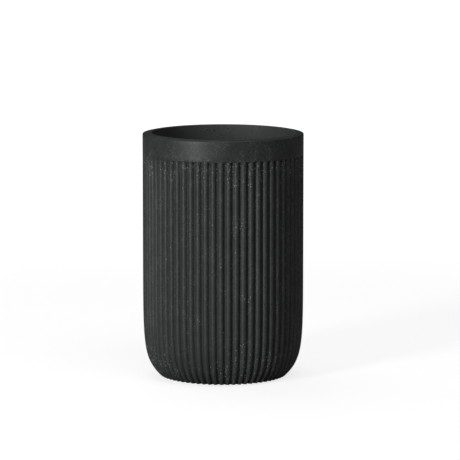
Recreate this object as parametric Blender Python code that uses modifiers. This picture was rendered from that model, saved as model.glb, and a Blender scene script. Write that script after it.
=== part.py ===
"""Toothbrush holder: a cast tumbler with a reeded wall, standing on a round rubber pad.

The tumbler is one casting, so it has no seams, lid or moving parts. A smooth band runs
round its mouth. Below the band, rounded ribs and grooves run down the wall, follow the
lower corner inwards and stop at the flat base. A rubber pad in a recess under the base,
held by a disc of tape, keeps the holder from sliding on a wet shelf.

Metres, +Z up. The origin is the centre of the pad's underside, which stands on the shelf.
"""
import math

import bmesh
import bpy
from mathutils import Vector
from mathutils.geometry import interpolate_bezier

# Whole holder
DIAMETER = 0.070
HEIGHT = 0.107
GAP = 0.0003

# Mouth: the wall's thickness, the smooth band, and the lip. From its inner edge the lip is
# rounded, then flat, and then it falls gently to its outer edge
WALL = 0.0041
BAND_HEIGHT = 0.0093
LIP_INNER_ROUND = 0.0005
LIP_FLAT = 0.0005
LIP_DROP = 0.00045
LIP_OUTER_ROUND = 0.00035

# Ribs: a wave of arcs across. The crest share is how much of each rib's pitch bulges out, and
# the ledge is the short slope on which a groove rises to the band
RIB_COUNT = 65
RIB_DEPTH = 0.00107
RIB_CREST_SHARE = 0.66
RIB_LEDGE = 0.0004

# Lower corner: one curve, upright where it leaves the wall and leaning inwards at the base
BASE_RADIUS = 0.0275
CORNER_HEIGHT = 0.0425
CORNER_WALL_HANDLE = 0.030
CORNER_BASE_HANDLE = 0.010
CORNER_LEAN = math.radians(46)

# Hollow inside: the floor over the pad's recess, and the curve from the wall to the floor
FLOOR = 0.0040
FLOOR_FLAT_RADIUS = 0.018
HOLLOW_WALL_HANDLE = 0.030
HOLLOW_FLOOR_HANDLE = 0.008

# Rubber pad and the tape that holds it, in a recess inside the rim of the base
BASE_RIM = 0.0042
PAD_THICKNESS = 0.0015
PAD_PROUD = 0.0005
PAD_EDGE = 0.0003
TAPE_THICKNESS = 0.0005
TAPE_INSET = 0.0010

# How finely the turned shapes are divided
RIB_POINTS = 6
CORNER_POINTS = 7
HOLLOW_STEPS = 96
HOLLOW_POINTS = 6
ROUND_POINTS = 3
PAD_STEPS = 64
SMOOTH_ANGLE = math.radians(40)
MERGE = 0.00001
OVERRUN = 0.002

# Places that follow from the sizes above
WALL_RADIUS = DIAMETER / 2
HOLLOW_RADIUS = WALL_RADIUS - WALL
MOUTH_RADIUS = HOLLOW_RADIUS + LIP_INNER_ROUND
BASE_Z = PAD_PROUD
TAPE_Z = PAD_THICKNESS + GAP
RECESS_Z = TAPE_Z + TAPE_THICKNESS + GAP
FLOOR_Z = RECESS_Z + FLOOR
CORNER_Z = BASE_Z + CORNER_HEIGHT
LIP_OUTER_Z = HEIGHT - LIP_DROP
BAND_Z = HEIGHT - BAND_HEIGHT
RIB_PITCH = math.tau * WALL_RADIUS / RIB_COUNT
FLANK_LEAN = 2 * math.atan(2 * RIB_DEPTH / RIB_PITCH)
RECESS_RADIUS = BASE_RADIUS - BASE_RIM
PAD_RADIUS = RECESS_RADIUS - GAP
TAPE_RADIUS = PAD_RADIUS - TAPE_INSET


def clear_scene():
    """Removes the objects that the file opened with."""
    for thing in list(bpy.data.objects):
        bpy.data.objects.remove(thing, do_unlink=True)


def new_collection(name):
    """A collection of that name, linked to the scene."""
    group = bpy.data.collections.new(name)
    bpy.context.scene.collection.children.link(group)
    return group


def new_material(name, color, roughness, metallic=0.0):
    """A Principled material of one colour."""
    material = bpy.data.materials.new(name)
    material.use_nodes = True
    shader = material.node_tree.nodes["Principled BSDF"]
    shader.inputs["Base Color"].default_value = (*color, 1.0)
    shader.inputs["Roughness"].default_value = roughness
    shader.inputs["Metallic"].default_value = metallic
    material.diffuse_color = (*color, 1.0)
    return material


def new_object(name, mesh, group):
    """An object of that mesh, in the collection."""
    thing = bpy.data.objects.new(name, mesh)
    group.objects.link(thing)
    return thing


def turned(name, profile, steps, group):
    """A solid of revolution: the profile's (radius, height) points, top to bottom, turned about Z."""
    mesh = bpy.data.meshes.new(name)
    vertices = [(radius, 0.0, height) for radius, height in profile]
    edges = [(k, k + 1) for k in range(len(profile) - 1)]
    mesh.from_pydata(vertices, edges, [])
    thing = new_object(name, mesh, group)
    screw = thing.modifiers.new("Turn", "SCREW")
    screw.axis = "Z"
    screw.angle = math.tau
    screw.steps = steps
    screw.render_steps = steps
    screw.use_merge_vertices = True
    screw.merge_threshold = MERGE
    return thing


def made_plain(thing):
    """Turns an object's evaluated shape into its own mesh and drops its modifiers."""
    bpy.context.view_layer.update()
    evaluated = thing.evaluated_get(bpy.context.evaluated_depsgraph_get())
    mesh = bpy.data.meshes.new_from_object(evaluated)
    thing.modifiers.clear()
    thing.data = mesh
    return mesh


def shade_round(mesh):
    """Smooth shading, with the real edges kept sharp."""
    mesh.shade_smooth()
    mesh.set_sharp_from_angle(angle=SMOOTH_ANGLE)


def disc(name, radius, bottom, top, group):
    """A short upright cylinder between two heights."""
    mesh = bpy.data.meshes.new(name)
    shape = bmesh.new()
    bmesh.ops.create_cone(
        shape, cap_ends=True, segments=PAD_STEPS, radius1=radius, radius2=radius, depth=top - bottom
    )
    shape.to_mesh(mesh)
    shape.free()
    thing = new_object(name, mesh, group)
    thing.location = (0.0, 0.0, (bottom + top) / 2)
    return thing


def cut(thing, cutter):
    """Takes the cutter's shape away from the object."""
    boolean = thing.modifiers.new("Cut " + cutter.name, "BOOLEAN")
    boolean.operation = "DIFFERENCE"
    boolean.solver = "EXACT"
    boolean.object = cutter
    cutter.hide_render = True
    cutter.display_type = "WIRE"


def arc(centre, radius, start, end, points):
    """Points on an arc of the profile plane, from one angle to another."""
    steps = [start + (end - start) * k / (points - 1) for k in range(points)]
    return [centre + radius * Vector((math.cos(angle), math.sin(angle))) for angle in steps]


def corner_curve():
    """The outside of the lower corner, from the upright wall down to the edge of the base."""
    wall_end = Vector((WALL_RADIUS, CORNER_Z))
    wall_handle = wall_end - Vector((0.0, CORNER_WALL_HANDLE))
    base_end = Vector((BASE_RADIUS, BASE_Z))
    lean = Vector((math.sin(CORNER_LEAN), math.cos(CORNER_LEAN)))
    base_handle = base_end + CORNER_BASE_HANDLE * lean
    return interpolate_bezier(wall_end, wall_handle, base_handle, base_end, CORNER_POINTS)


def outer_stations():
    """The tumbler's outside, top to bottom, as (point, groove) pairs.

    The point is a radius and a height. The groove is how far that point moves where a groove
    is deepest: nothing on the lip and the band, square to the surface on the ribbed wall, and
    level at the base edge, which keeps the base flat.
    """
    smooth = Vector((0.0, 0.0))
    lip_round = Vector((WALL_RADIUS - LIP_OUTER_ROUND, LIP_OUTER_Z - LIP_OUTER_ROUND))
    lip_flat = Vector((MOUTH_RADIUS + LIP_FLAT, HEIGHT))
    stations = [(Vector((0.0, HEIGHT)), smooth), (lip_flat, smooth)]
    for point in arc(lip_round, LIP_OUTER_ROUND, math.pi / 2, 0.0, ROUND_POINTS):
        stations.append((point, smooth))
    stations.append((Vector((WALL_RADIUS, BAND_Z)), smooth))
    level = Vector((-RIB_DEPTH, 0.0))
    stations.append((Vector((WALL_RADIUS, BAND_Z - RIB_LEDGE)), level))
    curve = corner_curve()
    stations.append((curve[0], level))
    for above, point, below in zip(curve, curve[1:], curve[2:]):
        along = (below - above).normalized()
        stations.append((point, RIB_DEPTH * Vector((along.y, -along.x))))
    stations.append((curve[-1], level / math.cos(CORNER_LEAN)))
    stations.append((Vector((0.0, BASE_Z)), smooth))
    return stations


def groove_share(angle):
    """How deep a groove is at an angle round the wall: 0 on a rib's crest, 1 in a groove's middle.

    Across, the wall is a wave of arcs of a circle, bulging out on the ribs and in along the
    grooves. FLANK_LEAN is how far it leans where two arcs meet. One groove faces +X.
    """
    turn = angle * RIB_COUNT / math.tau
    from_crest = abs(2.0 * (turn - math.floor(turn)) - 1.0)
    on_crest = from_crest < RIB_CREST_SHARE
    from_middle = from_crest if on_crest else 1.0 - from_crest
    arc_share = RIB_CREST_SHARE if on_crest else 1.0 - RIB_CREST_SHARE
    sine = from_middle / arc_share * math.sin(FLANK_LEAN)
    bend = arc_share * (1.0 - math.sqrt(1.0 - sine * sine)) / (1.0 - math.cos(FLANK_LEAN))
    return bend if on_crest else 1.0 - bend


def make_ribs(mesh, stations):
    """Moves the points of a turned blank inwards where a groove runs between two ribs."""
    for vertex in mesh.vertices:
        here = Vector((math.hypot(vertex.co.x, vertex.co.y), vertex.co.z))
        point, groove = min(stations, key=lambda station: (station[0] - here).length)
        angle = math.atan2(vertex.co.y, vertex.co.x)
        moved = here + groove_share(angle) * groove
        vertex.co = (moved.x * math.cos(angle), moved.x * math.sin(angle), moved.y)


def hollow_profile():
    """The hollow inside, from above the rim down to the floor, with the lip's inner edge rounded."""
    wall_end = Vector((HOLLOW_RADIUS, CORNER_Z))
    wall_handle = wall_end - Vector((0.0, HOLLOW_WALL_HANDLE))
    floor_end = Vector((FLOOR_FLAT_RADIUS, FLOOR_Z))
    floor_handle = floor_end + Vector((HOLLOW_FLOOR_HANDLE, 0.0))
    lip_centre = Vector((MOUTH_RADIUS, HEIGHT - LIP_INNER_ROUND))
    profile = [Vector((0.0, HEIGHT + OVERRUN)), Vector((MOUTH_RADIUS, HEIGHT + OVERRUN))]
    profile += arc(lip_centre, LIP_INNER_ROUND, math.pi / 2, math.pi, ROUND_POINTS)
    profile += interpolate_bezier(wall_end, wall_handle, floor_handle, floor_end, HOLLOW_POINTS)
    profile.append(Vector((0.0, FLOOR_Z)))
    return profile


def make_tumbler(parts, cutters):
    """The casting: a turned blank, its ribs, the hollow for the brushes and the pad's recess."""
    stations = outer_stations()
    tumbler = turned("tumbler", [point for point, groove in stations], RIB_COUNT * RIB_POINTS, parts)
    mesh = made_plain(tumbler)
    make_ribs(mesh, stations)
    shade_round(mesh)
    hollow = turned("hollow", hollow_profile(), HOLLOW_STEPS, cutters)
    cut(tumbler, hollow)
    recess = disc("recess", RECESS_RADIUS, BASE_Z - OVERRUN, RECESS_Z, cutters)
    cut(tumbler, recess)
    mesh.materials.append(new_material("black cast stone", (0.040, 0.042, 0.041), 0.55))
    return tumbler


def make_pad(parts):
    """The rubber pad, with its two edges softened. It stands just proud of the base."""
    pad = disc("base_pad", PAD_RADIUS, 0.0, PAD_THICKNESS, parts)
    edge = pad.modifiers.new("Soft edge", "BEVEL")
    edge.width = PAD_EDGE
    edge.segments = 1
    edge.limit_method = "ANGLE"
    shade_round(pad.data)
    pad.data.materials.append(new_material("black rubber", (0.018, 0.018, 0.019), 0.85))
    return pad


def make_tape(parts):
    """The disc of double-sided tape between the pad and the recess."""
    tape = disc("pad_tape", TAPE_RADIUS, TAPE_Z, TAPE_Z + TAPE_THICKNESS, parts)
    shade_round(tape.data)
    tape.data.materials.append(new_material("white tape", (0.62, 0.61, 0.57), 0.60))
    return tape


def main():
    """Builds the holder's three pieces under one empty."""
    clear_scene()
    parts = new_collection("toothbrush_holder")
    cutters = new_collection("cutters")
    holder = new_object("toothbrush_holder", None, parts)
    for piece in (make_tumbler(parts, cutters), make_pad(parts), make_tape(parts)):
        piece.parent = holder


main()
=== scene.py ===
"""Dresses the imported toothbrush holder: the reeded cast tumbler, its rubber pad and tape, and a stage.

The file is laid out as a Blender add-on and is run as a script. Metres, +Z up. The camera stands on
the -Y side, so left in the picture is -X. Azimuths are in degrees round the holder, 0 towards the
camera and growing towards the right of the picture.
"""
import math
from collections import namedtuple

import bpy
from bpy.props import FloatProperty, FloatVectorProperty, IntProperty, PointerProperty
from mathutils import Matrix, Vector
from mathutils.geometry import interpolate_bezier


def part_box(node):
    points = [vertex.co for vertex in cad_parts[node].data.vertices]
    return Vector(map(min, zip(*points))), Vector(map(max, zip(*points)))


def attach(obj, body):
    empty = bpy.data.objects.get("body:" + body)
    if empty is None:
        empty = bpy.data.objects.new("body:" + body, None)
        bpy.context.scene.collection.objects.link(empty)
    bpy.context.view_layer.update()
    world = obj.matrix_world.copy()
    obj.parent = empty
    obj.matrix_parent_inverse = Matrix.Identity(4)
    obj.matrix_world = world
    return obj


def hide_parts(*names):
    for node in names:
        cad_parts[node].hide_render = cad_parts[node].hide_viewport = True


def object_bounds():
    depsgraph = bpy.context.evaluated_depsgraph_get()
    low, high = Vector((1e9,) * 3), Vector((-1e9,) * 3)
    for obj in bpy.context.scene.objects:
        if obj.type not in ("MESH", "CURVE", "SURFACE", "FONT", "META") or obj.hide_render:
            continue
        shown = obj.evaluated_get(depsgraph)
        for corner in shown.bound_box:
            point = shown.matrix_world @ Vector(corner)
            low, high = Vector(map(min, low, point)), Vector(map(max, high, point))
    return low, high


bl_info = {
    "name": "Reeded Toothbrush Holder",
    "version": (1, 0, 0),
    "blender": (4, 5, 0),
    "location": "3D View > Sidebar > Holder",
    "description": "Builds a reeded cast tumbler with its rubber pad, and a stage to show it on",
    "category": "Object",
}

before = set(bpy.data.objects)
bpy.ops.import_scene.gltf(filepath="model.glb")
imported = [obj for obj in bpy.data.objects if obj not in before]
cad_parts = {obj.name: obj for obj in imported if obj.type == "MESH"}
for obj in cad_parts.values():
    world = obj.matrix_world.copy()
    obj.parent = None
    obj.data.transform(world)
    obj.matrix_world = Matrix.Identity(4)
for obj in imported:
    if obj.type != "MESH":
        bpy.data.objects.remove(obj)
CAD_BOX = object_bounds()
TUMBLER_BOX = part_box("tumbler")
PAD_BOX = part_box("base_pad")
TAPE_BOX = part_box("pad_tape")
BODY = "root"

# How finely the pieces are divided: a profile's points on each small round, on the corner's curve,
# on the hollow's curve and on each straight stretch, the steps round a plain disc, and the floor's
# sides. Points closer than the weld distance become one
ROUND_POINTS = 5
CURVE_POINTS = 28
HOLLOW_POINTS = 20
STRAIGHT_POINTS = 6
PLAIN_STEPS = 128
FLOOR_SIDES = 64
WELD = 0.000001

# The flat faces of a disc end this many roundings inside its rim
DISC_EDGE_ROUNDS = 4

# What a profile's point carries: the share of the grooves' depth, how rubbed its edge is, and
# whether it is inside the hollow. All but the first are passed on as marks
MARKS = ("wear", "inside")
Station = namedtuple("Station", ("point", "groove", *MARKS), defaults=(0.0, 0.0, 0.0))

# Where specks crowd on the wall: azimuth in degrees, height above the shelf and reach in metres
SPECK_CROWDS = ((-62, 0.0940, 0.008), (-42, 0.0940, 0.007), (7, 0.0925, 0.008), (22, 0.0920, 0.009),
                (8, 0.0700, 0.007), (16, 0.0395, 0.005), (14, 0.0180, 0.004), (-70, 0.0085, 0.012),
                (-50, 0.0060, 0.010), (2, 0.0040, 0.012), (20, 0.0055, 0.014), (38, 0.0080, 0.011))

# They crowd less all round, just under the band: height above the shelf, reach and share
SPECK_RING = (0.0945, 0.0040, 0.50)

# The kinds of spot in the stone: their spacing as a share of the speck spacing, and their radius as
# a share of their own spacing
Spots = namedtuple("Spots", ("spacing", "radius"))
SPECKS = Spots(1.0, 0.32)
GRIT = Spots(0.8, 0.42)
PITS = Spots(1.1, 0.34)

# The part of the noise's range that each pattern stretches from none to full
GRAIN_NOISE = (0.28, 0.72)
PATCH_NOISE = (0.42, 0.66)
WEAR_NOISE = (0.35, 0.65)
FIBRE_NOISE = (0.50, 0.64)

# How many times their mean share the spots have in a bare patch and in a full one, how much of a
# spot's radius is solid, how rubbed a marked edge is at least, and how deep in a groove the painted
# shade starts
PATCH_SHARES = (0.15, 2.6)
SPOT_CORE_SHARE = 0.6
LEAST_WEAR_SHARE = 0.35
GROOVE_START_SHARE = 0.35

# Roughness at the low and at the high end of each finish's pattern, and what a groove, the hollow
# and wear add to the stone's
STONE_ROUGHNESS = (0.48, 0.40)
RUBBER_ROUGHNESS = (0.72, 0.90)
TAPE_ROUGHNESS = (0.42, 0.66)
GROOVE_ROUGHER = 0.2
INSIDE_ROUGHER = 0.4
WORN_ROUGHER = -0.1

# How far specks stand out and pits go in, in heights of the grain
SPECK_RISE = 0.8
PIT_RISE = -1.5

# The shade of the rubber's grain from which it turns dusty, and how many bumps of noise there are in
# a metre of the tape, along its fibres and across them
DUST_SHADE = 0.3
FIBRE_SCALES = (400.0, 4000.0)

# Width and height of the tall softbox and of the wide ones, and how far the camera sees
TALL_SOFTBOX = (0.28, 0.90)
WIDE_SOFTBOX = (1.0, 1.0)
CAMERA_REACH = 100.0
WHITE = (1.0, 1.0, 1.0, 1.0)

# Room between the nodes of a tree in the node editor
NODE_COLUMN = 220.0
NODE_ROW = 260.0


def length(name, description, default):
    """A property that holds a length in metres."""
    return FloatProperty(
        name=name, description=description, default=default, min=0.0, precision=5,
        unit="LENGTH", subtype="DISTANCE",
    )


def turn(name, description, degrees):
    """A property that holds an angle."""
    return FloatProperty(
        name=name, description=description, default=math.radians(degrees), unit="ROTATION", subtype="ANGLE"
    )


def share(name, description, default):
    """A property that holds a share from 0 to 1."""
    return FloatProperty(
        name=name, description=description, default=default, min=0.0, max=1.0, subtype="FACTOR"
    )


def number(name, description, default, least=0.0):
    """A property that holds a plain number."""
    return FloatProperty(name=name, description=description, default=default, min=least)


def power(name, description, default):
    """A property that holds a lamp's power in watts."""
    return FloatProperty(name=name, description=description, default=default, min=0.0, unit="POWER")


def colour(name, description, default):
    """A property that holds a linear colour."""
    return FloatVectorProperty(
        name=name, description=description, default=default, min=0.0, max=1.0, size=3, subtype="COLOR"
    )


class HolderTumblerSizes(bpy.types.PropertyGroup):
    """Sizes of the cast tumbler."""

    radius: length("Radius", "Outside radius, on the ribs' crests and the band", min(*TUMBLER_BOX[1].xy))
    top: length("Top", "Height of the lip above the shelf", TUMBLER_BOX[1].z)
    base: length("Base", "Height of the flat base above the shelf", TUMBLER_BOX[0].z)
    wall: length("Wall", "Thickness of the wall at the band", 0.0041)
    band: length("Band", "Height of the smooth band round the mouth", 0.0093)
    lip_inner_round: length("Lip inner round", "Rounding of the lip's inner edge", 0.0005)
    lip_flat: length("Lip flat", "Width of the level part of the lip", 0.0005)
    lip_drop: length("Lip drop", "How far the lip falls towards its outer edge", 0.00045)
    lip_outer_round: length("Lip outer round", "Rounding of the lip's outer edge", 0.00035)
    # The lip's rubbed parts are made paler, as wear and as a painted highlight
    lip_wear: share("Lip wear", "How rubbed the lip's inner edge is", 0.30)
    crown_wear: share("Crown wear", "How rubbed the top of the lip is", 0.10)
    ribs: IntProperty(name="Ribs", description="Number of ribs round the wall", default=65, min=3)
    steps: IntProperty(name="Steps", description="Faces across each rib, in fours", default=12, min=4)
    rib_depth: length("Rib depth", "Depth of the grooves between the ribs", 0.00107)
    rib_crest: share("Rib crest", "Share of each rib's pitch that bulges out", 0.66)
    rib_ledge: length("Rib ledge", "Height over which a groove rises to the band", 0.00040)
    # The rubbed crests are made paler, which paints part of the ribs' highlight as well as their wear
    rib_wear: share("Rib wear", "How rubbed the crests of the ribs are", 0.30)
    base_radius: length("Base radius", "Radius of the flat base, on the crests of the ribs", 0.0275)
    base_round: length("Base round", "Rounding of the edge of the base", 0.0003)
    base_wear: share("Base wear", "How rubbed the edge of the base is", 0.70)
    corner: length("Corner", "Height of the lower corner", 0.0425)
    corner_wall_handle: length("Corner wall handle", "How far the corner's curve follows the wall", 0.030)
    corner_base_handle: length("Corner base handle", "How far the corner's curve follows its lean", 0.010)
    corner_lean: turn("Corner lean", "How far the wall leans from upright at the base", 46.0)
    floor: length("Floor", "Thickness of the floor of the hollow", 0.0040)
    floor_flat: length("Floor flat", "Radius of the flat part of the hollow's floor", 0.018)
    hollow_wall_handle: length("Hollow wall handle", "How far the hollow's curve follows its wall", 0.030)
    hollow_floor_handle: length("Hollow floor handle", "How far the hollow's curve follows its floor", 0.008)
    recess_gap: length("Recess gap", "Room round and over the pad and tape in their recess", 0.0003)
    recess_round: length("Recess round", "Rounding of the recess's edges", 0.00025)
    recess_wear: share("Recess wear", "How rubbed the lower edge of the recess is", 0.50)


class HolderPadSizes(bpy.types.PropertyGroup):
    """Sizes of the rubber pad and the tape."""

    pad_round: length("Pad round", "Rounding of the pad's edges", 0.00035)
    tape_round: length("Tape round", "Rounding of the tape's cut edge", 0.00006)


class HolderFinishes(bpy.types.PropertyGroup):
    """Colours and grain of the finishes."""

    stone_light: colour("Stone, light", "Paler parts of the cast stone's grain", (0.0574, 0.0626, 0.0603))
    stone_dark: colour("Stone, dark", "Darker parts of the cast stone's grain", (0.0200, 0.0220, 0.0211))
    # Painted shade: the stone is darkened towards the root of each groove, standing in for the shade that
    # falls there
    stone_groove_shade: colour("Stone, groove", "Cast stone at the root of a groove", (0.0285, 0.0312, 0.0300))
    # Painted light: the stone inside the hollow is made paler, standing in for light that falls into the
    # mouth
    stone_hollow_painted_light: colour("Stone, inside", "Thin film of dust inside the hollow", (0.0700, 0.0755, 0.0730))
    # Wear and painted highlight: rubbed edges and rib crests are made paler, which also paints the light
    # they catch
    stone_wear_and_sheen: colour("Stone, worn", "Cast stone on rubbed edges and crests", (0.0800, 0.0840, 0.0820))
    stone_grit: colour("Stone, grit", "Faintly paler grit in the cast stone", (0.0950, 0.0990, 0.0980))
    stone_speck: colour("Stone, speck", "Pale specks in the cast stone", (0.2600, 0.2620, 0.2660))
    stone_pit: colour("Stone, pit", "Small pits in the cast stone", (0.0060, 0.0064, 0.0062))
    grain: length("Grain", "Size of the cast stone's grain", 0.0007)
    mottle: length("Mottle", "Size of the cast stone's soft patches", 0.0060)
    speck_spacing: length("Speck spacing", "Mean distance between places where a speck may be", 0.0009)
    speck_share: share("Speck share", "Share of those places that hold a speck", 0.006)
    speck_crowd: number("Speck crowd", "How many times more specks there are where they crowd", 110.0, 1.0)
    speck_patch: length("Speck patch", "Size of the patches in which specks come and go", 0.0050)
    grit_share: share("Grit share", "Share of such places that hold a piece of grit", 0.18)
    grit_crowd: number("Grit crowd", "How many times more grit and pits there are in a crowd", 5.5, 1.0)
    pit_share: share("Pit share", "Share of such places that hold a pit", 0.13)
    rubber: colour("Rubber", "Fresh rubber", (0.0150, 0.0150, 0.0158))
    rubber_dusty: colour("Rubber, dusty", "Rubber with dust in its texture", (0.0380, 0.0375, 0.0360))
    dust: colour("Dust", "Grains of dust on the rubber", (0.1200, 0.1200, 0.1150))
    tape: colour("Tape", "The tape's film", (0.6400, 0.6300, 0.5900))
    tape_fibre: colour("Tape, fibre", "Fibres in the tape's film", (0.5200, 0.5050, 0.4600))


class HolderStageSizes(bpy.types.PropertyGroup):
    """Camera, lamps and floor."""

    camera_turn: turn("Camera turn", "Azimuth of the camera", 0.10)
    camera_away: length("Camera away", "Level distance from the holder's axis to the camera", 1.3130)
    camera_height: length("Camera height", "Height of the camera", 0.2490)
    aim_right: length("Aim right", "How far right of the axis the camera aims", 0.0030)
    aim_height: length("Aim height", "Height that the camera aims at", 0.0640)
    lens: number("Lens", "Focal length of the camera in millimetres", 238.0, 1.0)
    key_power: power("Key power", "Power of the tall softbox at the left", 20.3)
    key_turn: turn("Key turn", "Azimuth of the tall softbox", -40.0)
    key_lift: turn("Key lift", "Height angle of the tall softbox", 8.0)
    fill_power: power("Fill power", "Power of the wide softbox over the front", 5.3)
    fill_turn: turn("Fill turn", "Azimuth of the wide softbox over the front", 26.0)
    fill_lift: turn("Fill lift", "Height angle of the wide softbox over the front", 58.0)
    back_power: power("Back power", "Power of the wide softbox behind the holder", 4.8)
    back_turn: turn("Back turn", "Azimuth of the wide softbox behind the holder", -150.0)
    back_lift: turn("Back lift", "Height angle of the wide softbox behind the holder", 68.0)
    softbox_away: length("Softbox away", "Distance of the softboxes from the middle of the holder", 1.6)
    sky: number("Sky", "Strength of the dim light from all round", 0.035)
    floor_colour: colour("Floor colour", "Colour of the floor", (0.45, 0.45, 0.45))
    floor_drop: length("Floor drop", "How far under the pad the floor lies, so their faces differ", 0.00005)
    near_glow: number("Near glow", "How white the floor by the holder shows of itself", 0.79)
    far_glow: number("Far glow", "How white the far floor shows, which the lamps don't reach", 1.0)
    near_floor: length("Near floor", "Radius of the floor that is near the holder", 0.20)
    far_floor: length("Far floor", "Radius at which the far floor starts", 0.80)
    floor_radius: length("Floor radius", "Radius of the floor", 30.0)


class Wiring:
    """Adds nodes to one tree and links them. A socket's value is a number, a colour or another socket."""

    def __init__(self, tree):
        self.tree = tree

    def node(self, kind, inputs=None, **settings):
        """A node of that kind, with its settings and inputs."""
        made = self.tree.nodes.new(kind)
        for name, value in settings.items():
            setattr(made, name, value)
        for name, value in (inputs or {}).items():
            self.feed(made.inputs[name], value)
        return made

    def feed(self, socket, value):
        """Links a socket to an input, or sets the input's own value."""
        if isinstance(value, bpy.types.NodeSocket):
            self.tree.links.new(value, socket)
        else:
            socket.default_value = value

    def maths(self, operation, *values):
        """The result of a Math node."""
        return self.node("ShaderNodeMath", dict(enumerate(values)), operation=operation).outputs[0]

    def whole(self, operation, *values):
        """The result of an Integer Math node."""
        return self.node("FunctionNodeIntegerMath", dict(enumerate(values)), operation=operation).outputs[0]

    def remap(self, value, low, high, to_low=0.0, to_high=1.0, smooth=False):
        """The value moved from one range to another and held inside it."""
        kind = "SMOOTHSTEP" if smooth else "LINEAR"
        inputs = {"Value": value, "From Min": low, "From Max": high, "To Min": to_low, "To Max": to_high}
        return self.node("ShaderNodeMapRange", inputs, interpolation_type=kind).outputs["Result"]

    def noise(self, vector, size, detail):
        """Noise from 0 to 1 in patches of that size."""
        inputs = {"Vector": vector, "Scale": self.maths("DIVIDE", 1.0, size), "Detail": detail}
        return self.node("ShaderNodeTexNoise", inputs).outputs["Fac"]

    def blend(self, factor, first, second):
        """Two colours mixed by a factor."""
        mix = self.node("ShaderNodeMix", data_type="RGBA")
        self.feed(mix.inputs["Factor"], factor)
        for socket, value in zip([s for s in mix.inputs if s.type == "RGBA"], (first, second)):
            self.feed(socket, value if isinstance(value, bpy.types.NodeSocket) else (*value, 1.0))
        return next(s for s in mix.outputs if s.type == "RGBA")

    def tidy(self):
        """Lays the nodes out in columns, each one left of whatever it feeds."""
        depth = {node: 0 for node in self.tree.nodes}
        for _ in self.tree.nodes:
            for link in self.tree.links:
                depth[link.from_node] = max(depth[link.from_node], depth[link.to_node] + 1)
        rows = {}
        for node, column in depth.items():
            row = rows[column] = rows.get(column, -1) + 1
            node.location = (-NODE_COLUMN * column, -NODE_ROW * row)


def new_group(kind, name, inputs, outputs):
    """An empty node group with its sockets: (name, socket kind, default) in, (name, socket kind) out."""
    group = bpy.data.node_groups.new(name, kind)
    for label, socket, default in inputs:
        made = group.interface.new_socket(label, in_out="INPUT", socket_type=socket)
        if default is not None:
            made.default_value = default
    for label, socket in outputs:
        group.interface.new_socket(label, in_out="OUTPUT", socket_type=socket)
    wires = Wiring(group)
    return group, wires, wires.node("NodeGroupInput").outputs


# Geometry: profiles and the tree that turns them


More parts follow.
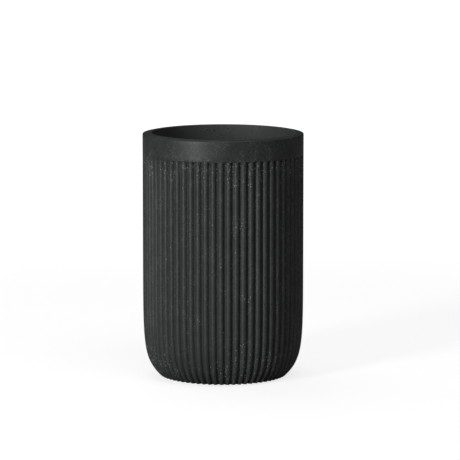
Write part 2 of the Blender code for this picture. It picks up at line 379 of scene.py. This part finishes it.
def reeded_turning():
    """The tree that turns a profile about Z and sinks the grooves of a reeded wall into it.

    The profile is the object's own mesh, a chain of points at (radius, 0, height), and its groove
    attribute says how much of the depth a groove has at each point. Its other marks are passed on.
    Across, the wall is a wave of arcs, of which the crest share bulges out and the rest in, and
    the flank lean is how far it leans where two arcs meet.
    """
    tree, wires, given = new_group(
        "GeometryNodeTree",
        "Reeded turning",
        [
            ("Profile", "NodeSocketGeometry", None),
            ("Ribs", "NodeSocketInt", 65),
            ("Steps per rib", "NodeSocketInt", 12),
            ("Groove depth", "NodeSocketFloat", 0.00107),
            ("Crest share", "NodeSocketFloat", 0.66),
            ("Flank lean", "NodeSocketFloat", math.radians(64.0)),
            ("First groove", "NodeSocketFloat", 0.0),
            ("Sharp angle", "NodeSocketFloat", math.radians(40.0)),
            ("Weld distance", "NodeSocketFloat", WELD),
            ("Finish", "NodeSocketMaterial", None),
        ],
        [("Surface", "NodeSocketGeometry")],
    )
    tree.is_modifier = True
    counts = wires.node("GeometryNodeAttributeDomainSize", {"Geometry": given["Profile"]}).outputs
    stations = counts["Point Count"]
    columns = wires.whole("MULTIPLY", given["Ribs"], given["Steps per rib"])
    sheet = {"Vertices X": wires.whole("ADD", columns, 1), "Vertices Y": stations}
    grid = wires.node("GeometryNodeMeshGrid", sheet).outputs["Mesh"]

    index = wires.node("GeometryNodeInputIndex").outputs["Index"]
    column = wires.whole("DIVIDE", index, stations)
    station = wires.whole("MODULO", index, stations)
    rib = wires.whole("DIVIDE", column, given["Steps per rib"])
    step = wires.whole("MODULO", column, given["Steps per rib"])

    # The wave has a groove's middle at 0 and at 1 of each rib's pitch and the crest at a half. Each
    # arc's own angle swings from one flank lean to the other, and the steps are even along it
    lean = given["Flank lean"]
    halves = wires.maths("DIVIDE", wires.maths("MULTIPLY", step, 2.0), given["Steps per rib"])
    middle = wires.maths("ROUND", halves)
    full_swing = wires.maths("MULTIPLY", lean, 2.0)
    swing = wires.maths("MULTIPLY", wires.maths("SUBTRACT", halves, middle), full_swing)
    hollow = wires.maths("ABSOLUTE", wires.maths("SUBTRACT", middle, 1.0))
    other = wires.maths("MULTIPLY_ADD", given["Crest share"], -2.0, 1.0)
    width = wires.maths("MULTIPLY_ADD", hollow, other, given["Crest share"])
    reach = wires.maths("DIVIDE", wires.maths("SINE", swing), wires.maths("SINE", lean))
    across = wires.maths("MULTIPLY", wires.maths("MULTIPLY_ADD", reach, width, middle), 0.5)
    fall = wires.maths("SUBTRACT", 1.0, wires.maths("COSINE", swing))
    fall = wires.maths("DIVIDE", fall, wires.maths("SUBTRACT", 1.0, wires.maths("COSINE", lean)))
    inwards = wires.maths("MULTIPLY_ADD", hollow, -2.0, 1.0)
    dip = wires.maths("MULTIPLY_ADD", wires.maths("MULTIPLY", fall, width), inwards, hollow)
    pitch = wires.maths("DIVIDE", math.tau, given["Ribs"])
    angle = wires.maths("MULTIPLY_ADD", wires.maths("ADD", rib, across), pitch, given["First groove"])

    def sampled(value, data_type):
        """A value of the profile, read at each point's own station."""
        inputs = {"Geometry": given["Profile"], "Value": value, "Index": station}
        node = wires.node("GeometryNodeSampleIndex", inputs, data_type=data_type, domain="POINT")
        return node.outputs["Value"]

    def named(name):
        """One of the profile's attributes."""
        node = wires.node("GeometryNodeInputNamedAttribute", {"Name": name}, data_type="FLOAT")
        return node.outputs["Attribute"]

    place = sampled(wires.node("GeometryNodeInputPosition").outputs["Position"], "FLOAT_VECTOR")
    place = wires.node("ShaderNodeSeparateXYZ", {"Vector": place}).outputs
    groove = wires.maths("MULTIPLY", dip, sampled(named("groove"), "FLOAT"))
    radius = wires.maths("SUBTRACT", place["X"], wires.maths("MULTIPLY", groove, given["Groove depth"]))
    turned = {
        "X": wires.maths("MULTIPLY", radius, wires.maths("COSINE", angle)),
        "Y": wires.maths("MULTIPLY", radius, wires.maths("SINE", angle)),
        "Z": place["Z"],
    }
    bent = {"Geometry": grid, "Position": wires.node("ShaderNodeCombineXYZ", turned).outputs["Vector"]}
    surface = wires.node("GeometryNodeSetPosition", bent).outputs["Geometry"]
    marks = {name: sampled(named(name), "FLOAT") for name in MARKS}
    for name, value in {**marks, "groove": groove}.items():
        inputs = {"Geometry": surface, "Name": name, "Value": value}
        store = wires.node("GeometryNodeStoreNamedAttribute", inputs, data_type="FLOAT")
        surface = store.outputs["Geometry"]
    weld = {"Geometry": surface, "Distance": given["Weld distance"]}
    surface = wires.node("GeometryNodeMergeByDistance", weld).outputs["Geometry"]
    surface = wires.node("GeometryNodeSetShadeSmooth", {"Geometry": surface}).outputs["Geometry"]
    bend = wires.node("GeometryNodeInputMeshEdgeAngle").outputs["Unsigned Angle"]
    sharp = wires.node("FunctionNodeCompare", {0: bend, 1: given["Sharp angle"]}, operation="GREATER_THAN")
    crease = {"Geometry": surface, "Selection": sharp.outputs["Result"], "Shade Smooth": False}
    surface = wires.node("GeometryNodeSetShadeSmooth", crease, domain="EDGE").outputs["Geometry"]
    surface = wires.node("GeometryNodeRealizeInstances", {"Geometry": surface}).outputs["Geometry"]
    finished = {"Geometry": surface, "Material": given["Finish"]}
    surface = wires.node("GeometryNodeSetMaterial", finished).outputs["Geometry"]
    wires.node("NodeGroupOutput", {"Surface": surface})
    wires.tidy()
    return tree


def turned_piece(name, profile, finish, **inputs):
    """A plain mesh made by turning a profile, which runs up the outside and down the inside."""
    mesh = bpy.data.meshes.new(name)
    vertices = [(station.point.x, 0.0, station.point.y) for station in profile]
    mesh.from_pydata(vertices, [(k, k + 1) for k in range(len(vertices) - 1)], [])
    for mark in ("groove", *MARKS):
        layer = mesh.attributes.new(mark, "FLOAT", "POINT")
        layer.data.foreach_set("value", [getattr(station, mark) for station in profile])
    piece = bpy.data.objects.new(name, mesh)
    bpy.context.scene.collection.objects.link(piece)
    tree = bpy.data.node_groups.get("Reeded turning") or reeded_turning()
    modifier = piece.modifiers.new("Turn", "NODES")
    modifier.node_group = tree
    sockets = {item.name: item.identifier for item in tree.interface.items_tree if item.in_out == "INPUT"}
    for label, value in {"Finish": finish, **inputs}.items():
        modifier[sockets[label]] = value
    bpy.context.view_layer.update()
    evaluated = piece.evaluated_get(bpy.context.evaluated_depsgraph_get())
    finished = bpy.data.meshes.new_from_object(evaluated)
    piece.modifiers.clear()
    piece.data = finished
    finished.name = name
    return piece


def arc(centre, radius, start, end, points=ROUND_POINTS):
    """Points on an arc of the profile plane, from one angle to another in degrees."""
    steps = [math.radians(start + (end - start) * k / (points - 1)) for k in range(points)]
    return [centre + radius * Vector((math.cos(angle), math.sin(angle))) for angle in steps]


def straight(start, end, points=STRAIGHT_POINTS):
    """Points between two ends, without the ends."""
    return [start.lerp(end, k / (points + 1)) for k in range(1, points + 1)]


def marked_points(points, **marks):
    """Stations at those points, all with the same marks."""
    return [Station(point, **marks) for point in points]


def corner_stations(sizes):
    """The lower corner, from the edge of the base up to the wall, with its grooves.

    A groove is sunk level, so on a leaning wall it goes further in by the lean.
    """
    base_end = Vector((sizes.base_radius, sizes.base))
    lean = Vector((math.sin(sizes.corner_lean), math.cos(sizes.corner_lean)))
    wall_end = Vector((sizes.radius, sizes.base + sizes.corner))
    wall_handle = wall_end - Vector((0.0, sizes.corner_wall_handle))
    base_handle = base_end + sizes.corner_base_handle * lean
    curve = interpolate_bezier(base_end, base_handle, wall_handle, wall_end, CURVE_POINTS)

    # The edge of the base is a round that touches the level base and the leaning wall
    back = sizes.base_round * math.tan((math.pi / 2 - sizes.corner_lean) / 2)
    centre = base_end + Vector((-back, sizes.base_round))
    edge = arc(centre, sizes.base_round, -90.0, -math.degrees(sizes.corner_lean))
    stations = marked_points(edge, groove=1.0 / math.cos(sizes.corner_lean), wear=sizes.base_wear)

    for below, point, above in zip(curve, curve[1:], curve[2:]):
        along = (above - below).normalized()
        stations.append(Station(point, groove=1.0 / along.y, wear=sizes.rib_wear))
    stations.append(Station(curve[-1], groove=1.0, wear=sizes.rib_wear))
    return stations


def tumbler_profile(sizes):
    """The whole tumbler's profile, from the middle of its underside, up the outside and down the inside."""
    gap = sizes.recess_gap
    recess_radius = PAD_BOX[1].x + gap
    recess_top = TAPE_BOX[1].z + gap
    edge = sizes.recess_round
    stations = marked_points([Vector((0.0, recess_top)), Vector((recess_radius / 2, recess_top))])
    stations += marked_points(arc(Vector((recess_radius - edge, recess_top - edge)), edge, 90.0, 0.0))
    lower_edge = arc(Vector((recess_radius + edge, sizes.base + edge)), edge, 180.0, 270.0)
    stations += marked_points(lower_edge, wear=sizes.recess_wear)
    stations += marked_points([Vector(((recess_radius + sizes.base_radius) / 2, sizes.base))])
    stations += corner_stations(sizes)

    # The ribbed wall, the ledges on which its grooves rise in a smooth step, and the smooth band
    wall_foot = Vector((sizes.radius, sizes.base + sizes.corner))
    band_foot = Vector((sizes.radius, sizes.top - sizes.band))
    ledge_foot = band_foot - Vector((0.0, sizes.rib_ledge))
    ribbed = straight(wall_foot, ledge_foot) + [ledge_foot]
    stations += marked_points(ribbed, groove=1.0, wear=sizes.rib_wear)
    for k in range(1, ROUND_POINTS + 2):
        rise = k / (ROUND_POINTS + 2)
        sunk = 1.0 - rise * rise * (3.0 - 2.0 * rise)
        stations.append(Station(ledge_foot.lerp(band_foot, rise), groove=sunk, wear=sunk * sizes.rib_wear))
    stations += marked_points([band_foot])

    # The lip: its outer edge, the crown that rises inwards, and its inner edge
    outer_round = sizes.lip_outer_round
    outer = Vector((sizes.radius - outer_round, sizes.top - sizes.lip_drop - outer_round))
    inside = sizes.radius - sizes.wall
    mouth = inside + sizes.lip_inner_round
    flat = Vector((mouth + sizes.lip_flat, sizes.top))
    crown_end = outer + Vector((0.0, outer_round))
    climb = (flat - crown_end) / 3
    crown_handle = flat - Vector((climb.x, 0.0))
    crown = interpolate_bezier(crown_end, crown_end + climb, crown_handle, flat, ROUND_POINTS + 2)
    stations += marked_points(straight(band_foot, Vector((sizes.radius, outer.y))))
    stations += marked_points(arc(outer, outer_round, 0.0, 90.0))
    stations += marked_points(crown[1:], wear=sizes.crown_wear)
    inner = arc(Vector((mouth, sizes.top - sizes.lip_inner_round)), sizes.lip_inner_round, 90.0, 180.0)
    stations += marked_points(inner, wear=sizes.lip_wear, inside=0.5)

    # The hollow: its straight wall, the curve at its foot, and its flat floor
    wall_end = Vector((inside, sizes.base + sizes.corner))
    wall_handle = wall_end - Vector((0.0, sizes.hollow_wall_handle))
    floor_end = Vector((sizes.floor_flat, recess_top + sizes.floor))
    floor_handle = floor_end + Vector((sizes.hollow_floor_handle, 0.0))
    hollow = straight(inner[-1], wall_end)
    hollow += interpolate_bezier(wall_end, wall_handle, floor_handle, floor_end, HOLLOW_POINTS)
    hollow += [Vector((sizes.floor_flat / 2, floor_end.y)), Vector((0.0, floor_end.y))]
    return stations + marked_points(hollow, inside=1.0)


def disc_profile(box, edge):
    """A flat disc's profile with rounded edges, from the middle of its underside to that of its top."""
    radius, low, high = box[1].x, box[0].z, box[1].z
    inner = radius - DISC_EDGE_ROUNDS * edge
    stations = marked_points([Vector((0.0, low)), Vector((radius / 2, low)), Vector((inner, low))])
    stations += marked_points(arc(Vector((radius - edge, low + edge)), edge, -90.0, 0.0), wear=1.0)
    stations += marked_points(arc(Vector((radius - edge, high - edge)), edge, 0.0, 90.0), wear=1.0)
    stations += marked_points([Vector((inner, high)), Vector((radius / 2, high)), Vector((0.0, high))])
    return stations


# Shared effects


def fine_grain():
    """Shader group: the grain and soft patches of a cast or moulded surface."""
    group, wires, given = new_group(
        "ShaderNodeTree",
        "Fine grain",
        [
            ("Vector", "NodeSocketVector", None),
            ("Grain size", "NodeSocketFloat", 0.0007),
            ("Patch size", "NodeSocketFloat", 0.006),
            ("Patch weight", "NodeSocketFloat", 0.4),
        ],
        [("Shade", "NodeSocketFloat"), ("Height", "NodeSocketFloat")],
    )
    looks = []
    for size, detail in (("Grain size", 3.0), ("Patch size", 2.0)):
        looks.append(wires.remap(wires.noise(given["Vector"], given[size], detail), *GRAIN_NOISE))
    mix = wires.node("ShaderNodeMix", data_type="FLOAT")
    values = (given["Patch weight"], *looks)
    for socket, value in zip([s for s in mix.inputs if s.type == "VALUE"], values):
        wires.feed(socket, value)
    wires.node("NodeGroupOutput", {"Shade": mix.outputs[0], "Height": looks[0]})
    wires.tidy()
    return group


def scattered_specks():
    """Shader group: small specks at some of the places of a loose net, crowding in patches."""
    group, wires, given = new_group(
        "ShaderNodeTree",
        "Scattered specks",
        [
            ("Vector", "NodeSocketVector", None),
            ("Spacing", "NodeSocketFloat", 0.0011),
            ("Radius", "NodeSocketFloat", 0.28),
            ("Share", "NodeSocketFloat", 0.1),
            ("Patch size", "NodeSocketFloat", 0.012),
        ],
        [("Mask", "NodeSocketFloat")],
    )
    scale = wires.maths("DIVIDE", 1.0, given["Spacing"])
    net = wires.node("ShaderNodeTexVoronoi", {"Vector": given["Vector"], "Scale": scale}).outputs
    near = wires.maths("DIVIDE", net["Distance"], given["Radius"])
    dot = wires.remap(near, SPOT_CORE_SHARE, 1.0, 1.0, 0.0, smooth=True)
    patch = wires.noise(given["Vector"], given["Patch size"], 1.0)
    patch = wires.remap(patch, *PATCH_NOISE, *PATCH_SHARES)
    chance = wires.node("ShaderNodeSeparateColor", {"Color": net["Color"]}).outputs["Red"]
    kept = wires.maths("LESS_THAN", chance, wires.maths("MULTIPLY", patch, given["Share"]))
    wires.node("NodeGroupOutput", {"Mask": wires.maths("MULTIPLY", dot, kept)})
    wires.tidy()
    return group


def rubbed_edge():
    """Shader group: uneven wear on the edges and crests that a piece's wear attribute marks. On the stone
    the paler wear also stands in for a highlight.
    """
    group, wires, given = new_group(
        "ShaderNodeTree",
        "Rubbed edge",
        [
            ("Vector", "NodeSocketVector", None),
            ("Edge", "NodeSocketFloat", 0.0),
            ("Patch size", "NodeSocketFloat", 0.003),
            ("Amount", "NodeSocketFloat", 0.5),
        ],
        [("Mask", "NodeSocketFloat")],
    )
    patch = wires.noise(given["Vector"], given["Patch size"], 2.0)
    patch = wires.remap(patch, *WEAR_NOISE, LEAST_WEAR_SHARE, 1.0)
    rubbed = wires.maths("MULTIPLY", wires.maths("MULTIPLY", patch, given["Edge"]), given["Amount"])
    wires.node("NodeGroupOutput", {"Mask": rubbed})
    wires.tidy()
    return group


def placed(wires, build, label, inputs):
    """A shared effect's outputs, placed in a material with its own values."""
    group = bpy.data.node_groups.get(label) or build()
    return wires.node("ShaderNodeGroup", inputs, node_tree=group).outputs


# Finishes


def new_finish(name, **values):
    """An empty material: its wiring, its shader with the plain values set, and its Object coordinates."""
    material = bpy.data.materials.new(name)
    material.use_nodes = True
    wires = Wiring(material.node_tree)
    shader = material.node_tree.nodes["Principled BSDF"]
    for socket, value in values.items():
        shader.inputs[socket.replace("_", " ")].default_value = value
    return material, wires, shader, wires.node("ShaderNodeTexCoord").outputs["Object"]


def marked(wires, name):
    """The value of one of the piece's own attributes."""
    return wires.node("ShaderNodeAttribute", attribute_name=name).outputs["Fac"]


def speck_crowds(wires, place):
    """How much specks crowd at a place of the wall: 1 in the middle of a crowd, 0 away from all."""
    ring_height, ring_reach, ring_share = SPECK_RING
    height = wires.node("ShaderNodeSeparateXYZ", {"Vector": place}).outputs["Z"]
    from_ring = wires.maths("ABSOLUTE", wires.maths("SUBTRACT", height, ring_height))
    most = wires.remap(from_ring, 0.0, ring_reach, ring_share, 0.0, smooth=True)
    for azimuth, crowd_height, reach in SPECK_CROWDS:
        middle = round_the_holder(math.radians(azimuth), 0.0, TUMBLER_BOX[1].x, crowd_height)
        apart = wires.node("ShaderNodeVectorMath", {0: place, 1: middle}, operation="DISTANCE")
        crowd = wires.remap(apart.outputs["Value"], 0.0, reach, 1.0, 0.0, smooth=True)
        most = wires.maths("MAXIMUM", crowd, most)
    return most


def cast_stone(look):
    """Matte black cast stone: grain, soft patches, pits, grit, pale specks and rubbed edges.

    Painted shade darkens the grooves, painted light makes the hollow paler, and the paler rubbed
    edges and crests also carry a painted highlight.
    """
    material, wires, shader, place = new_finish("Black cast stone", Specular_IOR_Level=0.31)
    pattern = {"Vector": place, "Grain size": look.grain, "Patch size": look.mottle, "Patch weight": 0.35}
    grain = placed(wires, fine_grain, "Fine grain", pattern)
    crowd = speck_crowds(wires, place)

    def scattered(spots, patch_size, plain_share, times):
        """The mask of one kind of spot, of which a crowd has so many times more."""
        more = wires.maths("MULTIPLY_ADD", crowd, times - 1.0, 1.0)
        inputs = {"Vector": place, "Spacing": spots.spacing * look.speck_spacing, "Radius": spots.radius,
                  "Share": wires.maths("MULTIPLY", more, plain_share), "Patch size": patch_size}
        return placed(wires, scattered_specks, "Scattered specks", inputs)["Mask"]

    specks = scattered(SPECKS, look.speck_patch, look.speck_share, look.speck_crowd)
    grit = scattered(GRIT, look.mottle, look.grit_share, look.grit_crowd)
    pits = scattered(PITS, look.mottle, look.pit_share, look.grit_crowd)
    groove = wires.remap(marked(wires, "groove"), GROOVE_START_SHARE, 1.0, smooth=True)
    edge = wires.maths("MULTIPLY", marked(wires, "wear"), wires.maths("SUBTRACT", 1.0, groove))
    worn = placed(wires, rubbed_edge, "Rubbed edge",
                  {"Vector": place, "Edge": edge, "Patch size": 0.004, "Amount": 0.5})["Mask"]
    stone = wires.blend(grain["Shade"], look.stone_dark, look.stone_light)
    # Painted shade in the grooves: the stone darkens towards each groove's root
    stone = wires.blend(groove, stone, look.stone_groove_shade)
    # Painted light: the hollow's stone is blended towards a paler colour
    stone = wires.blend(marked(wires, "inside"), stone, look.stone_hollow_painted_light)
    # Wear and painted highlight: paler stone on rubbed edges and crests
    stone = wires.blend(worn, stone, look.stone_wear_and_sheen)
    stone = wires.blend(grit, stone, look.stone_grit)
    stone = wires.blend(pits, stone, look.stone_pit)
    stone = wires.blend(specks, stone, look.stone_speck)
    wires.feed(shader.inputs["Base Color"], stone)
    rough = wires.remap(grain["Shade"], 0.0, 1.0, *STONE_ROUGHNESS)
    rough = wires.maths("MULTIPLY_ADD", groove, GROOVE_ROUGHER, rough)
    rough = wires.maths("MULTIPLY_ADD", marked(wires, "inside"), INSIDE_ROUGHER, rough)
    wires.feed(shader.inputs["Roughness"], wires.maths("MULTIPLY_ADD", worn, WORN_ROUGHER, rough))
    height = wires.maths("MULTIPLY_ADD", specks, SPECK_RISE, grain["Height"])
    height = wires.maths("MULTIPLY_ADD", pits, PIT_RISE, height)
    bump = wires.node("ShaderNodeBump", {"Strength": 0.35, "Distance": 0.00006, "Height": height})
    wires.feed(shader.inputs["Normal"], bump.outputs["Normal"])
    wires.tidy()
    return material


def pad_rubber(look):
    """Dull black rubber with a fine pebbled texture, dusty in patches and along its edges."""
    material, wires, shader, place = new_finish("Black rubber", Specular_IOR_Level=0.30)
    pattern = {"Vector": place, "Grain size": 0.0009, "Patch size": 0.009, "Patch weight": 0.5}
    grain = placed(wires, fine_grain, "Fine grain", pattern)
    grains = {"Vector": place, "Spacing": 0.0016, "Radius": 0.22, "Share": 0.10, "Patch size": 0.010}
    dust = placed(wires, scattered_specks, "Scattered specks", grains)["Mask"]
    edges = {"Vector": place, "Edge": marked(wires, "wear"), "Patch size": 0.003, "Amount": 0.6}
    worn = placed(wires, rubbed_edge, "Rubbed edge", edges)["Mask"]
    rubber = wires.blend(wires.remap(grain["Shade"], DUST_SHADE, 1.0), look.rubber, look.rubber_dusty)
    rubber = wires.blend(worn, rubber, look.rubber_dusty)
    rubber = wires.blend(dust, rubber, look.dust)
    wires.feed(shader.inputs["Base Color"], rubber)
    wires.feed(shader.inputs["Roughness"], wires.remap(grain["Shade"], 0.0, 1.0, *RUBBER_ROUGHNESS))
    bump = wires.node("ShaderNodeBump", {"Strength": 0.6, "Distance": 0.0001, "Height": grain["Height"]})
    wires.feed(shader.inputs["Normal"], bump.outputs["Normal"])
    wires.tidy()
    return material


def pad_tape(look):
    """Pale adhesive film with fine fibres lying both ways."""
    material, wires, shader, place = new_finish("White tape", Specular_IOR_Level=0.45)
    pattern = {"Vector": place, "Grain size": 0.0005, "Patch size": 0.008, "Patch weight": 0.5}
    grain = placed(wires, fine_grain, "Fine grain", pattern)
    along, across = FIBRE_SCALES
    fibres = []
    for stretch in ((along, across, along), (across, along, along)):
        laid = wires.node("ShaderNodeMapping", {"Vector": place, "Scale": stretch}).outputs["Vector"]
        fibres.append(wires.remap(wires.noise(laid, 1.0, 1.0), *FIBRE_NOISE))
    fibre = wires.maths("MAXIMUM", *fibres)
    film = wires.blend(wires.maths("MULTIPLY", fibre, grain["Shade"]), look.tape, look.tape_fibre)
    wires.feed(shader.inputs["Base Color"], film)
    wires.feed(shader.inputs["Roughness"], wires.remap(fibre, 0.0, 1.0, *TAPE_ROUGHNESS))
    bump = wires.node("ShaderNodeBump", {"Strength": 0.4, "Distance": 0.00004, "Height": fibre})
    wires.feed(shader.inputs["Normal"], bump.outputs["Normal"])
    wires.tidy()
    return material


# Stage


def floor_finish(sizes):
    """The pale floor. It shows to the camera as white, and keeps the holder's shadow."""
    material, wires, shader, place = new_finish("Pale floor", Roughness=0.9, Specular_IOR_Level=0.1)
    shader.inputs["Base Color"].default_value = (*sizes.floor_colour, 1.0)
    seen = wires.node("ShaderNodeLightPath").outputs["Is Camera Ray"]
    away = wires.node("ShaderNodeVectorMath", {0: place}, operation="LENGTH").outputs["Value"]
    glow = wires.remap(away, sizes.near_floor, sizes.far_floor, sizes.near_glow, sizes.far_glow, smooth=True)
    wires.feed(shader.inputs["Emission Strength"], wires.maths("MULTIPLY", seen, glow))
    shader.inputs["Emission Color"].default_value = WHITE
    wires.tidy()
    return material


def aimed(thing, target):
    """Turns a lamp or the camera, which look along their own -Z, towards a point."""
    thing.rotation_euler = (Vector(target) - thing.location).to_track_quat("-Z", "Y").to_euler()


def round_the_holder(azimuth, lift, away, height):
    """A point at that direction and distance from the holder's axis, at a height angle from a height."""
    level = away * math.cos(lift)
    return Vector((level * math.sin(azimuth), -level * math.cos(azimuth), height + away * math.sin(lift)))


def softbox(name, place, target, size, watts):
    """A rectangular area lamp of that width and height, aimed at a point."""
    lamp = bpy.data.lights.new(name, "AREA")
    lamp.shape = "RECTANGLE"
    lamp.size, lamp.size_y = size
    lamp.energy = watts
    thing = bpy.data.objects.new(name, lamp)
    bpy.context.scene.collection.objects.link(thing)
    thing.location = place
    aimed(thing, target)


def dim_sky(strength):
    """The world: a dim even light, shown white to the camera."""
    world = bpy.data.worlds.new("Studio")
    world.use_nodes = True
    wires = Wiring(world.node_tree)
    seen = wires.node("ShaderNodeLightPath").outputs["Is Camera Ray"]
    background = world.node_tree.nodes["Background"]
    background.inputs["Color"].default_value = WHITE
    wires.feed(background.inputs["Strength"], wires.remap(seen, 0.0, 1.0, strength, 1.0))
    wires.tidy()
    bpy.context.scene.world = world


def round_floor(sizes):
    """The floor: a large disc just under the pad."""
    mesh = bpy.data.meshes.new("floor")
    angles = [math.tau * k / FLOOR_SIDES for k in range(FLOOR_SIDES)]
    rim = [(sizes.floor_radius * math.cos(angle), sizes.floor_radius * math.sin(angle), -sizes.floor_drop)
           for angle in angles]
    mesh.from_pydata(rim, [], [range(FLOOR_SIDES)])
    floor = bpy.data.objects.new("floor", mesh)
    bpy.context.scene.collection.objects.link(floor)
    mesh.materials.append(floor_finish(sizes))


# Operators


class HOLDER_OT_tumbler(bpy.types.Operator):
    """Builds the reeded tumbler in black cast stone"""

    bl_idname = "holder.tumbler"
    bl_label = "Reeded Tumbler"

    def execute(self, context):
        sizes = context.scene.holder_tumbler
        pitch = math.tau * sizes.radius / sizes.ribs
        turning = {
            "Ribs": sizes.ribs, "Steps per rib": sizes.steps, "Groove depth": sizes.rib_depth,
            "Crest share": sizes.rib_crest, "Flank lean": 2.0 * math.atan(2.0 * sizes.rib_depth / pitch),
        }
        finish = cast_stone(context.scene.holder_finishes)
        tumbler = turned_piece("reeded_tumbler", tumbler_profile(sizes), finish, **turning)
        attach(tumbler, BODY)
        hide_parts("tumbler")
        return {"FINISHED"}


class HOLDER_OT_base_discs(bpy.types.Operator):
    """Builds the rubber pad under the base and the tape that holds it"""

    bl_idname = "holder.base_discs"
    bl_label = "Pad and Tape"

    def execute(self, context):
        sizes, look = context.scene.holder_pad, context.scene.holder_finishes
        turning = {"Ribs": PLAIN_STEPS, "Steps per rib": 1, "Groove depth": 0.0}
        pad = turned_piece("rubber_pad", disc_profile(PAD_BOX, sizes.pad_round), pad_rubber(look), **turning)
        tape = turned_piece("tape_disc", disc_profile(TAPE_BOX, sizes.tape_round), pad_tape(look), **turning)
        for piece, node, slot in ((pad, "base_pad", "pad_rubber"), (tape, "pad_tape", "tape")):
            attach(piece, BODY)
            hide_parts(node)
        return {"FINISHED"}


class HOLDER_OT_stage(bpy.types.Operator):
    """Sets the floor, the soft studio lamps, the sky and the camera"""

    bl_idname = "holder.stage"
    bl_label = "Stage"

    def execute(self, context):
        sizes, scene = context.scene.holder_stage, context.scene
        round_floor(sizes)
        dim_sky(sizes.sky)
        middle = Vector((0.0, 0.0, CAD_BOX[1].z / 2))
        for name, azimuth, lift, size, watts in (
            ("key softbox", sizes.key_turn, sizes.key_lift, TALL_SOFTBOX, sizes.key_power),
            ("fill softbox", sizes.fill_turn, sizes.fill_lift, WIDE_SOFTBOX, sizes.fill_power),
            ("back softbox", sizes.back_turn, sizes.back_lift, WIDE_SOFTBOX, sizes.back_power),
        ):
            place = round_the_holder(azimuth, lift, sizes.softbox_away, middle.z)
            softbox(name, place, middle, size, watts)

        camera = bpy.data.objects.new("camera", bpy.data.cameras.new("camera"))
        scene.collection.objects.link(camera)
        camera.data.lens = sizes.lens
        camera.data.clip_end = CAMERA_REACH
        camera.location = round_the_holder(sizes.camera_turn, 0.0, sizes.camera_away, sizes.camera_height)
        rightwards = sizes.camera_turn + math.pi / 2
        aimed(camera, round_the_holder(rightwards, 0.0, sizes.aim_right, sizes.aim_height))
        scene.camera = camera
        scene.view_settings.view_transform = "Standard"
        return {"FINISHED"}


class HOLDER_PT_sidebar(bpy.types.Panel):
    """Lists the holder's steps and sizes in the sidebar"""

    bl_label = "Toothbrush Holder"
    bl_idname = "HOLDER_PT_sidebar"
    bl_space_type = "VIEW_3D"
    bl_region_type = "UI"
    bl_category = "Holder"

    def draw(self, context):
        for step in STEPS:
            self.layout.operator(step.bl_idname)
        for name, (label, group) in SETTINGS.items():
            box = self.layout.box()
            box.label(text=label)
            for field in group.__annotations__:
                box.prop(getattr(context.scene, name), field)


STEPS = (HOLDER_OT_tumbler, HOLDER_OT_base_discs, HOLDER_OT_stage)
SETTINGS = {
    "holder_tumbler": ("Tumbler", HolderTumblerSizes),
    "holder_pad": ("Pad and tape", HolderPadSizes),
    "holder_finishes": ("Finishes", HolderFinishes),
    "holder_stage": ("Stage", HolderStageSizes),
}


def register():
    """Registers the classes and hangs the settings on the scene."""
    for name, (label, group) in SETTINGS.items():
        bpy.utils.register_class(group)
        setattr(bpy.types.Scene, name, PointerProperty(name=label, type=group))
    for step in (*STEPS, HOLDER_PT_sidebar):
        bpy.utils.register_class(step)


def unregister():
    """Takes it all off again."""
    for step in (HOLDER_PT_sidebar, *reversed(STEPS)):
        bpy.utils.unregister_class(step)
    for name, (label, group) in reversed(SETTINGS.items()):
        delattr(bpy.types.Scene, name)
        bpy.utils.unregister_class(group)


def main():
    """Builds the holder and its stage."""
    register()
    bpy.ops.holder.tumbler()
    bpy.ops.holder.base_discs()
    bpy.ops.holder.stage()


if __name__ == "__main__":
    main()
